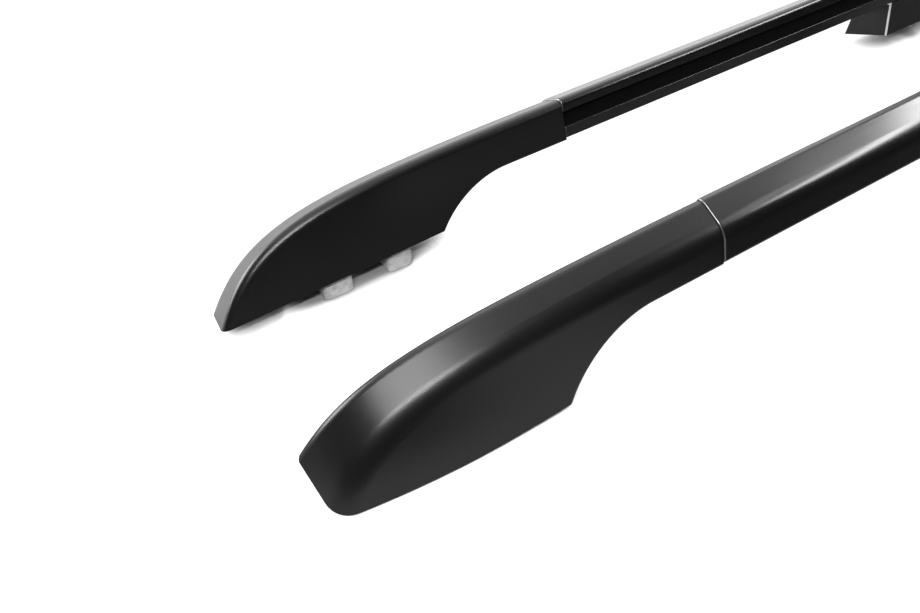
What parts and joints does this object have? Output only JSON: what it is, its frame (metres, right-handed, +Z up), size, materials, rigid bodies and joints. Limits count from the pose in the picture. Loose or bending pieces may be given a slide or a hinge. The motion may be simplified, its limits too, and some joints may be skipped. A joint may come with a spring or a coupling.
{
  "type": "roof side rail pair",
  "caption": "Mirrored pair of roof side rails: slotted black extrusions with moulded end caps that sweep down to cast feet, and a covered middle foot.",
  "frame": {"origin": "middle of the pair, on the level that the lugs of the end feet stand on", "axes": "+X along the rails towards the rear, +Y across to the right-hand rail, +Z up"},
  "size_m": [1.539, 0.2298, 0.0882],
  "materials": {
    "rail_black": "semi-gloss black coat on extruded aluminium, bare at the cut ends",
    "cap_plastic": "fine-grained satin black moulding",
    "cover_plastic": "fine-grained dark grey moulding",
    "bracket_black": "black coat, bare at the cut ends",
    "foot_cast": "bare casting, matt",
    "plate_steel": "zinc-plated",
    "screw_steel": "zinc-plated"
  },
  "bodies": {
    "root": {"left_rail": "rail_black", "left_centre_bracket": "bracket_black", "left_centre_cover": "cover_plastic", "left_centre_foot": "foot_cast", "left_centre_nut_plate": "plate_steel", "left_centre_screws": "screw_steel", "left_front_cap": "cap_plastic", "left_front_foot": "foot_cast", "left_front_cap_screws": "screw_steel", "left_front_tongue_screws": "screw_steel", "left_rear_cap": "cap_plastic", "left_rear_foot": "foot_cast", "left_rear_cap_screws": "screw_steel", "left_rear_tongue_screws": "screw_steel", "right_rail": "rail_black", "right_centre_bracket": "bracket_black", "right_centre_cover": "cover_plastic", "right_centre_foot": "foot_cast", "right_centre_nut_plate": "plate_steel", "right_centre_screws": "screw_steel", "right_front_cap": "cap_plastic", "right_front_foot": "foot_cast", "right_front_cap_screws": "screw_steel", "right_front_tongue_screws": "screw_steel", "right_rear_cap": "cap_plastic", "right_rear_foot": "foot_cast", "right_rear_cap_screws": "screw_steel", "right_rear_tongue_screws": "screw_steel"}
  },
  "joints": []
}
